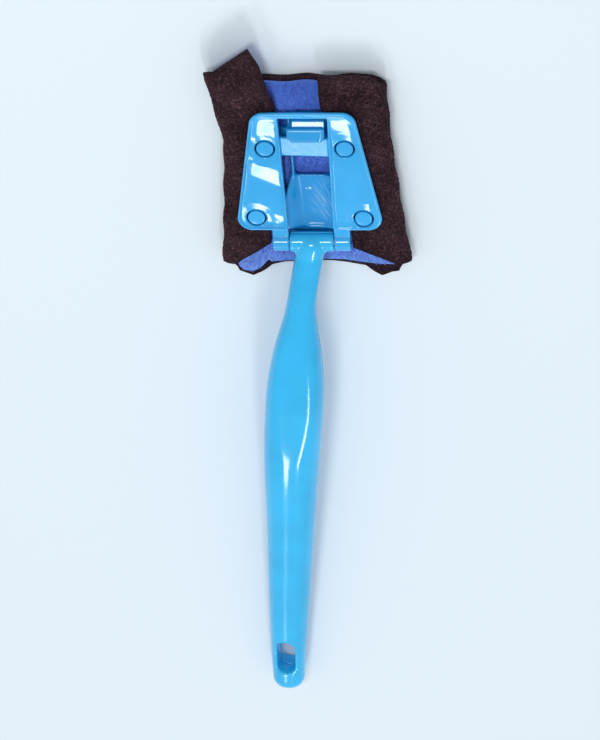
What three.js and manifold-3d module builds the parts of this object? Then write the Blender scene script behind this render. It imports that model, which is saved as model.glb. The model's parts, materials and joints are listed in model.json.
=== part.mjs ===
// Pivoting scrub brush: a long hinged handle on a clamp head that holds a folded scouring sheet.
// Millimetres, +Z up. The scrubbing face lies on z = 0 under the clamp frame's centre,
// the head points along +Y and the handle lies back along -Y with its end on the same surface.
import * as THREE from 'three';
import { mergeVertices } from 'three/addons/utils/BufferGeometryUtils.js';
import Module from 'manifold-3d';

// Clearances
const layerGap = 0.3; // between the stacked layers of the head
const pegRingGap = 0.6; // round each peg in the clamp frame
const pegSeatGap = 0.25; // round the peg's root in the base plate
const pinGap = 0.25; // round the hinge pin
const barrelEndGap = 0.3; // between barrel and ear
const plateHingeGap = 1.1; // between the base plate and the turning barrel
const seamGap = 0.3; // between the two handle shells
const latchGap = 0.35; // round the latch's bead and under its hook
const latchSideGap = 1; // between the latch's tab and the window's sides
const flapEarGap = 1.2; // between a flap's edge and the hinge ear
const flapWindowGap = 1.8; // how far a flap's edge hides behind the window's edge
const cutOver = 1; // how far a cutter runs past what it cuts

// Clamp frame: a tapered plate with a window, two dished wings and a cross-bar
const frameNearY = -33.3;
const frameFarHalf = 23;
const frameNearHalf = 33.8;
const frameCorner = 6.5;
const frameHeight = 3.6;
const frameEdge = 1.4; // rounding of the frame's outer edges
const frontBar = 2.9; // width of the bar across the frame's far end
const borderWidth = 3;
const windowLip = 2.4;
const dishDepth = 0.9;
const dishCorner = 3;
const windowFarHalf = 10.9;
const windowNearHalf = 10;
const barNearY = 7.7;
const barLength = 10.2; // cross-bar, measured along the brush
const barThickness = 2;
const barDrop = 0.8; // cross-bar's top below the frame's border

// Latch: a tab on a stem whose foot is a bead in a socket
const latchStandOff = 3.8; // between cross-bar and stem
const latchBeadRadius = 1.75;
const latchBeadFloor = 0.6; // plate left under the bead's socket
const latchRibHalfDepth = 3.6; // rib that holds the socket
const latchRibEnd = 1.35; // rib's wall at each end of the socket
const latchStemThickness = 1.8;
const latchMouthHalf = 1.5; // half the width of the socket's mouth
const latchTabOverhang = 1.3; // how far the tab stands out past the stem's sides
const latchTabHeight = 2.6;
const latchHook = 0.8; // how far the tab reaches over the cross-bar
const latchTabBack = 1.2; // how far the tab stands out behind the stem
const latchTabRound = 0.7;
const latchSwing = 4.1; // room behind the tab when it lies hooked

// Hinge
const hingeReach = 8.4; // hinge axis out from the frame's near edge
const hingeDrop = 3.7; // hinge axis below the frame's top
const earRadius = 4.4;
const earLength = 7.3;
const barrelRadius = 4.6;
const barrelLength = 20;
const pinRadius = 1.6;
const pinInset = 0.5; // pin ends inside the ears' outer faces

// Base plate, with an opening and a ramp that leads the thumb to the latch
const plateThickness = 3;
const plateFarIn = 5.3; // plate's far edge in from the frame's
const plateFarHalf = 29.1;
const plateNearHalf = 32.8;
const plateCorner = 5;
const plateShift = 1.2; // the plate sits a little off the frame's centre line
const openingFarY = 8;
const openingHalf = 13.6;
const openingRelief = 11; // the opening tapers on beside the ramp for this length
const openingCorner = 1;
const rampFarY = -7;
const rampFarHalf = 8.6;
const rampNearHalf = 14.5;
const rampPast = 1.8; // the ramp runs on past the frame's near edge
const rampSag = 0.55; // share of the ramp's length before its curve turns up
const rampRailWidth = 4.5;
const rampRailHeight = 3;

// Pegs: sizes, then how far the pairs stand in from the frame's sides and ends
const pegRadius = 3.85;
const pegRootRadius = 2.4;
const pegDish = 0.7;
const pegDishShare = 0.6; // where, out from the peg's middle, its dish turns up
const pegBoss = 1.8; // raised ring round each hole
const pegFromSide = 8.35;
const farPegIn = 19.1;
const nearPegIn = 7.4;

// Cloth: brown scouring sheet outside, blue fleece inside.
// Out at the far end counts from the frame's far edge, out at the near end from the hinge axis.
const sheetThickness = 3.2;
const linerThickness = 1.4;
const linerSetback = 1; // the fleece stops short of the sheet's cut edges
const sheetFarOut = 9.3;
const sheetNearOut = 19.3; // near edge, at its middle
const sheetCornerOut = 28; // the brown near corners hang out further
const linerCornerOut = 21.5; // the fleece's near corners
const sheetCornerIn = 8; // the near corners' distance in from the folds
const sheetFoldNearOut = 24; // near end of the folds' underside
const leftFoldFarOut = 22.3;
const leftFoldNearOut = 14.3;
const rightFoldFarOut = 11.3;
const rightFoldNearOut = 16.3;
const leftFlapNearOut = 1.5;
const rightFlapNearOut = 6.3;
// Looseness of each fold beyond the plate's edge: [share of the way from far to near, looseness]
const leftFoldLoose = [[0, 10.4], [0.36, 1.8], [0.76, 2.3], [1, 3.1]];
const rightFoldLoose = [[0, 1.9], [0.33, 0.1], [0.55, 0.6], [0.8, 1.1], [1, 2.2]];
// Free far ends of the two flaps: [out, x]. The left flap is folded askew.
const leftFlapFar = [[-2.7, -13], [18.8, -18.5], [29.8, -22.6]];
const rightFlapFar = [[-4.7, 10.6], [-0.2, 8.3], [14.8, 7.2]];
const flapTuckIn = 11.7; // where the flaps have gone out of sight, in from the frame's far edge

// Handle. Rows of the neck: distance out from the hinge, sideways sweep, arch over the straight
// line from hinge to end, width. Rows of the grip start with the share of the way to the end.
const neckStations = [
  [0, 0, 0, 13.4],
  [7, -1.6, 0.4, 13.2],
  [23, -5, 5.6, 13.2],
  [35, -7, 8.4, 14.2],
];
const gripStations = [
  [0.08, -9.5, 11.8, 21.8],
  [0.15, -11.3, 13.1, 26.2],
  [0.21, -12.8, 13.5, 27.4],
  [0.34, -16.2, 12, 26.6],
  [0.535, -20.4, 8.2, 23.2],
  [0.75, -25.2, 3.4, 20],
  [0.9, -28.3, 1, 17.2],
  [0.97, -29.4, 0.2, 15.8],
  [1, -29.6, 0, 15.8],
];
const handleLength = 283.5;
const handleDepth = 0.88; // depth of the section for its width
const neckFlat = 1; // straight run of the handle past the barrel
const thumbFlat = 1.6; // how deep the thumb flat is pressed into the front
const thumbStart = 42;
const thumbLength = 163;
const shellWall = 2.4;
const hollowStart = 44;
const hollowTaper = 14;
const hollowSlotWall = 14; // solid length between the hollow and the hanging slot
const domeOut = 5.4; // centre of the rounded neck end, out from the hinge axis
const endRound = 8;
const tipFullness = 0.06; // what is left of the section at the very ends
const slotFromEnd = 25.5;
const slotWidth = 9.1;
const slotLength = 22.6;

// Mesh fineness
const roundSides = 24;
const edgeSteps = 2;
const cornerSteps = 5;
const domeSteps = 5;
const shellArc = 10; // sides of a half section
const ringStep = 11; // distance between the handle's sections
const clothRows = 12;
const foldSides = 5;
const flapColumns = 3;
const mainColumns = 8;

// Places along the brush
const barFarY = barNearY + barLength;
const latchY = barFarY + latchStandOff + latchStemThickness / 2;
const windowFarY = latchY + latchStemThickness / 2 + latchTabBack + latchSwing;
const frameFarY = windowFarY + frontBar;
const hingeY = frameNearY - hingeReach;
const plateFarY = frameFarY - plateFarIn;
const plateNearY = hingeY + Math.max(earRadius, barrelRadius) + plateHingeGap;
const rampNearY = frameNearY - rampPast;
const slotOut = handleLength - slotFromEnd;
const hollowEnd = slotOut - slotLength / 2 - hollowSlotWall;

// Heights of the stack, from the scrubbing face up
const linerDepth = sheetThickness + layerGap;
const clothDepth = linerDepth + linerThickness;
const plateBottom = clothDepth + layerGap;
const plateTop = plateBottom + plateThickness;
const clothTop = plateTop + layerGap + clothDepth;
const frameBottom = clothTop + layerGap;
const frameTop = frameBottom + frameHeight;
const frameRound = Math.min(frameEdge, 0.45 * frameHeight);
const hingeZ = frameTop - hingeDrop;
const foldRadius = clothTop / 2;
const rampCrest = frameBottom - layerGap - rampRailHeight;
const barTop = frameTop - barDrop;
const latchZ = plateBottom + latchBeadFloor + latchGap + latchBeadRadius;

// Widths
const mix = (a, b, t) => a + (b - a) * t;
const plateHalf = (y) => mix(plateFarHalf, plateNearHalf, (plateFarY - y) / (plateFarY - plateNearY));
const frameHalf = (y) => mix(frameFarHalf, frameNearHalf, (frameFarY - y) / (frameFarY - frameNearY));
const rampHalf = (y) => mix(rampFarHalf, rampNearHalf, (rampFarY - y) / (rampFarY - rampNearY));
const windowHalf = (y) => mix(windowFarHalf, windowNearHalf, (windowFarY - y) / (windowFarY - frameNearY));
const earInner = barrelLength / 2 + barrelEndGap;
const earOuter = earInner + earLength;
const latchTabHalf = windowHalf(latchY) - plateShift - latchSideGap;
const latchStemHalf = latchTabHalf - latchTabOverhang;
const farPegY = frameFarY - farPegIn;
const nearPegY = frameNearY + nearPegIn;
const farPeg = { x: frameHalf(farPegY) - pegFromSide, y: farPegY };
const nearPeg = { x: frameHalf(nearPegY) - pegFromSide, y: nearPegY };

const wasm = await Module();
wasm.setup();

// Turn a closed geometry into a solid that can be joined and cut.
function solid(geometry) {
  const bare = new THREE.BufferGeometry();
  bare.setAttribute('position', geometry.getAttribute('position'));
  if (geometry.index) bare.setIndex(geometry.index);
  const merged = mergeVertices(bare, 1e-5);
  return new wasm.Manifold(new wasm.Mesh({
    numProp: 3,
    vertProperties: new Float32Array(merged.getAttribute('position').array),
    triVerts: new Uint32Array(merged.index.array),
  }));
}

// Turn a solid back into a flat-shaded geometry.
function geometryOf(body) {
  const mesh = body.getMesh();
  const geometry = new THREE.BufferGeometry();
  geometry.setAttribute('position', new THREE.BufferAttribute(new Float32Array(mesh.vertProperties), 3));
  geometry.setIndex(new THREE.BufferAttribute(new Uint32Array(mesh.triVerts), 1));
  geometry.computeVertexNormals();
  return geometry;
}

function box(x0, x1, y0, y1, z0, z1) {
  const geometry = new THREE.BoxGeometry(x1 - x0, y1 - y0, z1 - z0);
  geometry.translate((x0 + x1) / 2, (y0 + y1) / 2, (z0 + z1) / 2);
  return solid(geometry);
}

function rodAlongX(radius, x0, x1, y, z) {
  const geometry = new THREE.CylinderGeometry(radius, radius, x1 - x0, roundSides);
  geometry.rotateZ(Math.PI / 2);
  geometry.translate((x0 + x1) / 2, y, z);
  return solid(geometry);
}

function rodAlongZ(radius, x, y, z0, z1) {
  const geometry = new THREE.CylinderGeometry(radius, radius, z1 - z0, roundSides);
  geometry.rotateX(Math.PI / 2);
  geometry.translate(x, y, (z0 + z1) / 2);
  return solid(geometry);
}

// Outline through the given corners, each rounded by the radius as far as its edges allow.
const cornerShare = 0.45; // most of an edge that one rounded corner takes
function roundedShape(corners, radius) {
  const shape = new THREE.Shape();
  corners.forEach((corner, i) => {
    const here = new THREE.Vector2(...corner);
    const before = new THREE.Vector2(...corners[(i + corners.length - 1) % corners.length]);
    const after = new THREE.Vector2(...corners[(i + 1) % corners.length]);
    const reach = Math.min(radius, cornerShare * before.distanceTo(here), cornerShare * after.distanceTo(here));
    const start = before.sub(here).setLength(reach).add(here);
    const end = after.sub(here).setLength(reach).add(here);
    if (i === 0) shape.moveTo(start.x, start.y);
    else shape.lineTo(start.x, start.y);
    shape.quadraticCurveTo(here.x, here.y, end.x, end.y);
  });
  shape.closePath();
  return shape;
}

// Extrude a shape of the X-Y plane from z0 to z1, with edges rounded inwards by edge.
function slab(shape, z0, z1, edge = 0) {
  const geometry = new THREE.ExtrudeGeometry(shape, {
    depth: z1 - z0 - 2 * edge,
    bevelEnabled: edge > 0,
    bevelThickness: edge,
    bevelSize: edge,
    bevelOffset: -edge,
    bevelSegments: edgeSteps,
    curveSegments: cornerSteps,
  });
  geometry.translate(0, 0, z0 + edge);
  return solid(geometry);
}

// Extrude a side view, drawn in Y and Z, from x0 to x1.
function sideSlab(shape, x0, x1) {
  const geometry = new THREE.ExtrudeGeometry(shape, {
    depth: x1 - x0,
    bevelEnabled: false,
    curveSegments: cornerSteps,
  });
  const turn = new THREE.Matrix4().makeBasis(
    new THREE.Vector3(0, 1, 0), new THREE.Vector3(0, 0, 1), new THREE.Vector3(1, 0, 0));
  geometry.applyMatrix4(turn);
  geometry.translate(x0, 0, 0);
  return solid(geometry);
}

// Straight-line reading of a list of [position, value], held at its ends. Positions rise.
function readLine(list, position) {
  if (position <= list[0][0]) return list[0][1];
  for (let i = 1; i < list.length; i += 1) {
    const [p0, v0] = list[i - 1];
    const [p1, v1] = list[i];
    if (position <= p1) return mix(v0, v1, (position - p0) / (p1 - p0));
  }
  return list.at(-1)[1];
}

const ease = (t) => {
  const held = Math.min(Math.max(t, 0), 1);
  return held * held * (3 - 2 * held);
};

// Materials
const blue = new THREE.MeshStandardMaterial({ color: 0x45b5f0, roughness: 0.22, metalness: 0 });
const blueHead = new THREE.MeshStandardMaterial({ color: 0x45aee8, roughness: 0.2, metalness: 0 });
const brown = new THREE.MeshStandardMaterial({ color: 0x36242e, roughness: 0.95, metalness: 0 });
const fleece = new THREE.MeshStandardMaterial({ color: 0x4667ba, roughness: 0.95, metalness: 0 });
const steel = new THREE.MeshStandardMaterial({ color: 0xb8bcc2, roughness: 0.3, metalness: 1 });

const pegPlaces = [
  ['pad_peg_far_left', -farPeg.x, farPeg.y],
  ['pad_peg_far_right', farPeg.x, farPeg.y],
  ['pad_peg_near_left', -nearPeg.x, nearPeg.y],
  ['pad_peg_near_right', nearPeg.x, nearPeg.y],
];

// Folded cloth. A layer lies between two depths under the sheet's outer surface.
// Its columns run from the left flap's edge, round the left fold, under the plate,
// round the right fold and back to the right flap's edge. Its near corners reach out to cornerOut.
function clothLayer(depthOut, depthIn, setback, cornerOut) {
  const nearFlapX = earOuter + flapEarGap;
  const tuckY = frameFarY - flapTuckIn;
  const tuckX = windowHalf(tuckY) + flapWindowGap;
  const flapEdge = (side, nearOut, far) => [
    [hingeY - nearOut, side * nearFlapX],
    [frameNearY, side * nearFlapX],
    [tuckY, side * tuckX],
    ...far.map(([out, x]) => [frameFarY + out, x]),
  ];
  const leftEdge = flapEdge(-1, leftFlapNearOut, leftFlapFar);
  const rightEdge = flapEdge(1, rightFlapNearOut, rightFlapFar);
  const along = (farY, nearY, t) => mix(farY - setback, nearY + setback, t);
  const column = (t, depth) => {
    const points = [];
    const add = (x, y, z) => points.push(new THREE.Vector3(x, y, z));
    const leftY = along(frameFarY + leftFoldFarOut, hingeY - leftFoldNearOut, t);
    const rightY = along(frameFarY + rightFoldFarOut, hingeY - rightFoldNearOut, t);
    const leftTurn = plateShift - plateHalf(leftY) - readLine(leftFoldLoose, t);
    const rightTurn = plateShift + plateHalf(rightY) + readLine(rightFoldLoose, t);
    const leftFlapY = along(leftEdge.at(-1)[0], leftEdge[0][0], t);
    const rightFlapY = along(rightEdge.at(-1)[0], rightEdge[0][0], t);
    const leftFlapX = readLine(leftEdge, leftFlapY) - setback;
    const rightFlapX = readLine(rightEdge, rightFlapY) + setback;
    const underHalf = (rightTurn - leftTurn) / 2;
    const nearOut = (fromFold) => readLine([
      [0, sheetFoldNearOut],
      [sheetCornerIn, cornerOut],
      [underHalf, sheetNearOut],
    ], fromFold);
    const underY = (fromFold) => along(frameFarY + sheetFarOut, hingeY - nearOut(fromFold), t);
    const radius = foldRadius - depth;
    for (let i = 0; i < flapColumns; i += 1) {
      const s = i / flapColumns;
      add(mix(leftFlapX, leftTurn, s), mix(leftFlapY, leftY, s), clothTop - depth);
    }
    for (let i = 0; i <= foldSides; i += 1) {
      const s = i / foldSides;
      const turn = Math.PI * s;
      add(leftTurn - radius * Math.sin(turn), mix(leftY, underY(0), s), foldRadius + radius * Math.cos(turn));
    }
    for (let i = 1; i < mainColumns; i += 1) {
      const s = i / mainColumns;
      const fromFold = 2 * underHalf * Math.min(s, 1 - s);
      add(mix(leftTurn, rightTurn, s), underY(fromFold), depth);
    }
    for (let i = 0; i <= foldSides; i += 1) {
      const s = i / foldSides;
      const turn = Math.PI * s;
      add(rightTurn + radius * Math.sin(turn), mix(underY(0), rightY, s), foldRadius - radius * Math.cos(turn));
    }
    for (let i = flapColumns - 1; i >= 0; i -= 1) {
      const s = i / flapColumns;
      add(mix(rightFlapX, rightTurn, s), mix(rightFlapY, rightY, s), clothTop - depth);
    }
    return points;
  };
  const rows = [];
  for (let j = 0; j <= clothRows; j += 1) {
    const t = j / clothRows;
    rows.push([...column(t, depthOut), ...column(t, depthIn).reverse()]);
  }
  return loft(rows);
}

// Skin a closed solid over rings of equal length, with the end rings closed as strips.
function loft(rings) {
  const count = rings[0].length;
  const positions = rings.flat().flatMap((p) => [p.x, p.y, p.z]);
  const faces = [];
  for (let j = 0; j + 1 < rings.length; j += 1) {
    for (let i = 0; i < count; i += 1) {
      const a = j * count + i;
      const b = j * count + (i + 1) % count;
      faces.push(a, b, b + count, a, b + count, a + count);
    }
  }
  const last = (rings.length - 1) * count;
  for (let i = 0; i < count / 2 - 1; i += 1) {
    const near = count - 1 - i;
    faces.push(i, near, near - 1, i, near - 1, i + 1);
    faces.push(last + i, last + near - 1, last + near, last + i, last + i + 1, last + near - 1);
  }
  const geometry = new THREE.BufferGeometry();
  geometry.setAttribute('position', new THREE.Float32BufferAttribute(positions, 3));
  geometry.setIndex(faces);
  const body = solid(geometry);
  if (body.volume() > 0) return body;
  geometry.setIndex(faces.map((_, k) => faces[k - (k % 3) + 2 - (k % 3)]));
  return solid(geometry);
}

function clothWithPegHoles(...layer) {
  return pegPlaces.reduce((body, [, x, y]) => {
    const hole = rodAlongZ(pegRadius + layerGap, x, y, plateTop, frameBottom);
    return body.subtract(hole);
  }, clothLayer(...layer));
}

function basePlate() {
  const corners = [
    [plateShift - plateFarHalf, plateFarY],
    [plateShift - plateNearHalf, plateNearY],
    [plateShift + plateNearHalf, plateNearY],
    [plateShift + plateFarHalf, plateFarY],
  ];
  const openingReliefY = rampFarY - openingRelief;
  const opening = roundedShape([
    [plateShift - openingHalf, openingFarY],
    [plateShift - openingHalf, rampFarY],
    [plateShift - rampHalf(openingReliefY), openingReliefY],
    [plateShift + rampHalf(openingReliefY), openingReliefY],
    [plateShift + openingHalf, rampFarY],
    [plateShift + openingHalf, openingFarY],
  ], openingCorner);
  const rampSide = (lift) => {
    const shape = new THREE.Shape();
    shape.moveTo(rampFarY, plateBottom);
    shape.lineTo(rampFarY, plateTop + lift);
    shape.quadraticCurveTo(mix(rampFarY, rampNearY, rampSag), plateTop + lift, rampNearY, rampCrest + lift);
    shape.lineTo(rampNearY, plateBottom);
    shape.closePath();
    return shape;
  };
  const rampPlan = (inset) => slab(new THREE.Shape([
    new THREE.Vector2(plateShift - rampFarHalf + inset, rampFarY),
    new THREE.Vector2(plateShift - rampNearHalf + inset, rampNearY),
    new THREE.Vector2(plateShift + rampNearHalf - inset, rampNearY),
    new THREE.Vector2(plateShift + rampFarHalf - inset, rampFarY),
  ]), plateBottom, rampCrest + 2 * rampRailHeight);
  const rampReach = Math.max(rampFarHalf, rampNearHalf) + cutOver;
  const rampAcross = [plateShift - rampReach, plateShift + rampReach];
  const rails = rampPlan(0).subtract(rampPlan(rampRailWidth));
  const socketHalf = latchStemHalf + latchGap;
  const ribHalf = socketHalf + latchRibEnd;
  const ribTop = latchZ + latchBeadRadius;
  const openTop = Math.max(ribTop, plateTop) + cutOver;
  let body = slab(roundedShape(corners, plateCorner), plateBottom, plateTop)
    .subtract(slab(opening, plateBottom - cutOver, plateTop + cutOver))
    .add(sideSlab(rampSide(0), ...rampAcross).intersect(rampPlan(0)))
    .add(sideSlab(rampSide(rampRailHeight), ...rampAcross).intersect(rails))
    .add(box(plateShift - ribHalf, plateShift + ribHalf, latchY - latchRibHalfDepth,
      latchY + latchRibHalfDepth, plateBottom, ribTop))
    .subtract(rodAlongX(latchBeadRadius + latchGap, plateShift - socketHalf, plateShift + socketHalf,
      latchY, latchZ))
    .subtract(box(plateShift - socketHalf, plateShift + socketHalf, latchY - latchMouthHalf,
      latchY + latchMouthHalf, latchZ, openTop));
  pegPlaces.forEach(([, x, y]) => {
    const seat = rodAlongZ(pegRootRadius + pegSeatGap, x, y, plateBottom - cutOver, plateTop + cutOver);
    body = body.subtract(seat);
  });
  return body;
}

function clampFrame() {
  const outline = roundedShape([
    [-frameFarHalf, frameFarY],
    [-frameNearHalf, frameNearY],
    [frameNearHalf, frameNearY],
    [frameFarHalf, frameFarY],
  ], frameCorner);
  const windowEnd = frameNearY - cutOver;
  const windowShape = new THREE.Shape([
    new THREE.Vector2(-windowFarHalf, windowFarY),
    new THREE.Vector2(-windowHalf(windowEnd), windowEnd),
    new THREE.Vector2(windowHalf(windowEnd), windowEnd),
    new THREE.Vector2(windowFarHalf, windowFarY),
  ]);
  const dishFar = frameFarY - borderWidth;
  const dishNear = frameNearY + borderWidth;
  let body = slab(outline, frameBottom, frameTop, frameRound);
  [-1, 1].forEach((side) => {
    let dish = slab(roundedShape([
      [side * (windowHalf(dishFar) + windowLip), dishFar],
      [side * (windowHalf(dishNear) + windowLip), dishNear],
      [side * (frameHalf(dishNear) - borderWidth), dishNear],
      [side * (frameHalf(dishFar) - borderWidth), dishFar],
    ], dishCorner), frameTop - dishDepth, frameTop + cutOver);
    [farPeg, nearPeg].forEach((peg) => {
      const boss = pegRadius + pegRingGap + pegBoss;
      dish = dish.subtract(rodAlongZ(boss, side * peg.x, peg.y, frameBottom, frameTop + 2 * cutOver));
    });
    const earLeft = side > 0 ? earInner : -earOuter;
    const arm = box(earLeft, earLeft + earLength, hingeY, frameNearY + borderWidth, frameBottom,
      frameTop - frameRound);
    const ear = rodAlongX(earRadius, earLeft, earLeft + earLength, hingeY, hingeZ);
    body = body.subtract(dish).add(arm).add(ear);
  });
  const barHalf = windowHalf(barFarY) + windowLip / 2;
  body = body.subtract(slab(windowShape, frameBottom - cutOver, frameTop + cutOver))
    .add(box(-barHalf, barHalf, barNearY, barFarY, barTop - barThickness, barTop))
    .subtract(rodAlongX(pinRadius + pinGap, -earOuter - cutOver, earOuter + cutOver, hingeY, hingeZ));
  pegPlaces.forEach(([, x, y]) => {
    body = body.subtract(rodAlongZ(pegRadius + pegRingGap, x, y, frameBottom - cutOver, frameTop + cutOver));
  });
  return body;
}

function pegGeometry() {
  const seat = plateTop + layerGap;
  const rim = pegDish / 2;
  const profile = [
    [0, plateBottom], [pegRootRadius, plateBottom], [pegRootRadius, seat], [pegRadius, seat],
    [pegRadius, frameTop - rim], [pegRadius - rim, frameTop], [pegRadius * pegDishShare, frameTop - pegDish],
    [0, frameTop - pegDish],
  ].map(([r, z]) => new THREE.Vector2(r, z));
  const geometry = new THREE.LatheGeometry(profile, roundSides);
  geometry.rotateX(Math.PI / 2);
  return geometryOf(solid(geometry));
}

// Latch, drawn about its pivot line.
function latchBody() {
  const hookBottom = barTop + latchGap - latchZ;
  const hookTop = hookBottom + latchTabHeight;
  const tipY = barFarY - latchHook - latchY;
  const backY = latchStemThickness / 2 + latchTabBack;
  const tab = roundedShape([
    [tipY, hookBottom], [backY, hookBottom], [backY, hookTop], [tipY, hookTop],
  ], latchTabRound);
  return rodAlongX(latchBeadRadius, -latchStemHalf, latchStemHalf, 0, 0)
    .add(box(-latchStemHalf, latchStemHalf, -latchStemThickness / 2, latchStemThickness / 2, 0,
      hookBottom + latchTabHeight / 2))
    .add(sideSlab(tab, -latchTabHalf, latchTabHalf));
}

// Rows of the whole handle, by distance out from the hinge.
const neckEnd = neckStations.at(-1)[0];
const handleRows = [
  ...neckStations,
  ...gripStations.map(([share, ...rest]) => [mix(neckEnd, handleLength, share), ...rest]),
];
const neckRadius = neckStations[0][3] / 2;
const endHalfDepth = gripStations.at(-1)[3] * handleDepth / 2;

// Smooth reading of one column of those rows.
function handleValue(out, column) {
  let i = 0;
  while (i < handleRows.length - 2 && out > handleRows[i + 1][0]) i += 1;
  const row = (k) => handleRows[Math.min(Math.max(k, 0), handleRows.length - 1)];
  const value = (k) => row(k)[column];
  const place = (k) => row(k)[0];
  const slope = (k) => {
    const span = place(k + 1) - place(k - 1);
    return (value(k + 1) - value(k - 1)) / span;
  };
  const span = place(i + 1) - place(i);
  const t = Math.min(Math.max((out - place(i)) / span, 0), 1);
  const t2 = t * t;
  const t3 = t2 * t;
  return (2 * t3 - 3 * t2 + 1) * value(i) + (t3 - 2 * t2 + t) * span * slope(i)
    + (3 * t2 - 2 * t3) * value(i + 1) + (t3 - t2) * span * slope(i + 1);
}

// The handle's centre line, about the hinge axis: flat through the barrel, then arched,
// and down so that its end rests on the surface under the head.
function spine(out) {
  const flat = barrelRadius + neckFlat;
  const t = Math.max(out - flat, 0) / (handleLength - flat);
  const arch = out > flat ? Math.max(handleValue(out, 2), 0) * ease((out - flat) / flat) : 0;
  return new THREE.Vector3(handleValue(out, 1), -out, mix(0, endHalfDepth - hingeZ, t) + arch);
}

// How full the section is: it rounds off to a dome at the neck and at the end.
function fullness(out) {
  const beforeDome = Math.max(domeOut - out, 0) / neckRadius;
  const pastEnd = Math.max(out - (handleLength - endRound), 0) / endRound;
  return Math.sqrt(Math.max(1 - beforeDome ** 2 - pastEnd ** 2, tipFullness ** 2));
}

function ringPlaces() {
  const places = [];
  const endStart = handleLength - endRound;
  const runs = Math.round((endStart - domeOut) / ringStep);
  const quarter = (k) => Math.PI / 2 * (k / domeSteps);
  for (let k = 0; k < domeSteps; k += 1) places.push(domeOut - neckRadius * Math.cos(quarter(k)));
  for (let k = 0; k < runs; k += 1) places.push(mix(domeOut, endStart, k / runs));
  for (let k = 0; k <= domeSteps; k += 1) places.push(endStart + endRound * Math.sin(quarter(k)));
  return places;
}

// One shell of the handle; side is 1 for the front and -1 for the back.
function handleShell(side) {
  const rings = ringPlaces().map((out) => {
    const centre = spine(out);
    const full = fullness(out);
    const half = handleValue(out, 3) / 2;
    const thumbShare = Math.min(Math.max((out - thumbStart) / thumbLength, 0), 1);
    const pressed = side > 0 ? thumbFlat * Math.sin(Math.PI * thumbShare) : 0;
    const depth = half * handleDepth - pressed;
    const hollow = ease((out - hollowStart) / hollowTaper) * ease((hollowEnd - out) / hollowTaper);
    const seam = centre.z + side * seamGap / 2;
    const ring = [];
    for (let k = 0; k <= shellArc; k += 1) {
      const angle = Math.PI * k / shellArc;
      ring.push(new THREE.Vector3(centre.x + full * half * Math.cos(angle), centre.y,
        seam + side * full * depth * Math.sin(angle)));
    }
    for (let k = shellArc; k >= 0; k -= 1) {
      const angle = Math.PI * k / shellArc;
      ring.push(new THREE.Vector3(centre.x + full * (half - shellWall) * Math.cos(angle), centre.y,
        seam + side * hollow * (depth - shellWall) * Math.sin(angle)));
    }
    return ring;
  });
  const reach = barrelLength;
  const half = side > 0
    ? box(-reach, reach, -reach, reach, seamGap / 2, reach)
    : box(-reach, reach, -reach, reach, -reach, -seamGap / 2);
  const barrel = rodAlongX(barrelRadius, -barrelLength / 2, barrelLength / 2, 0, 0).intersect(half);
  const slotRadius = slotWidth / 2;
  const slotRun = slotLength / 2 - slotRadius;
  const slot = new THREE.Shape();
  slot.absarc(0, slotRun, slotRadius, 0, Math.PI);
  slot.absarc(0, -slotRun, slotRadius, Math.PI, 2 * Math.PI);
  const slotCentre = spine(slotOut);
  const lean = Math.atan2(spine(slotOut + slotRun).x - spine(slotOut - slotRun).x, -2 * slotRun);
  const cutter = new THREE.ExtrudeGeometry(slot, {
    depth: 4 * slotLength,
    bevelEnabled: false,
    curveSegments: 2 * cornerSteps,
  });
  cutter.translate(0, 0, -2 * slotLength);
  cutter.rotateZ(-lean);
  cutter.translate(slotCentre.x, slotCentre.y, slotCentre.z);
  return loft(rings).add(barrel)
    .subtract(rodAlongX(pinRadius + pinGap, -barrelLength, barrelLength, 0, 0))
    .subtract(solid(cutter));
}

// Assembly
const brush = new THREE.Group();
const head = new THREE.Group();
const latch = new THREE.Group();
const handle = new THREE.Group();
latch.position.set(plateShift, latchY, latchZ);
handle.position.set(0, hingeY, hingeZ);
brush.add(head, latch, handle);

function piece(group, name, geometry, material) {
  const mesh = new THREE.Mesh(geometry, material);
  mesh.name = name;
  group.add(mesh);
  return mesh;
}

piece(head, 'scouring_sheet', geometryOf(clothWithPegHoles(0, sheetThickness, 0, sheetCornerOut)), brown);
piece(head, 'fleece_liner', geometryOf(clothWithPegHoles(linerDepth, clothDepth, linerSetback, linerCornerOut)),
  fleece);
piece(head, 'base_plate', geometryOf(basePlate()), blueHead);
piece(head, 'clamp_frame', geometryOf(clampFrame()), blueHead);
pegPlaces.forEach(([name, x, y]) => piece(head, name, pegGeometry(), blueHead).position.set(x, y, 0));
piece(head, 'hinge_pin', geometryOf(rodAlongX(pinRadius, -earOuter + pinInset, earOuter - pinInset,
  hingeY, hingeZ)), steel);
piece(latch, 'latch', geometryOf(latchBody()), blueHead);
piece(handle, 'handle_front_shell', geometryOf(handleShell(1)), blue);
piece(handle, 'handle_back_shell', geometryOf(handleShell(-1)), blue);

export default brush;
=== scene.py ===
# %% [markdown]
# # A pivoting scrub brush
# The brush is a long blue handle, hinged to a clamp head that grips a folded scouring sheet.
# Its working model already has the right sizes, places and joints. This lesson gives every
# piece its finished surface around that model. Lengths are written in millimetres, as a
# moulder would write them, and become Blender's metres in one place.

# %% Load the working model
import json
import math
from itertools import product

import bpy
import numpy as np
from mathutils import Matrix, Vector


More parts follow.
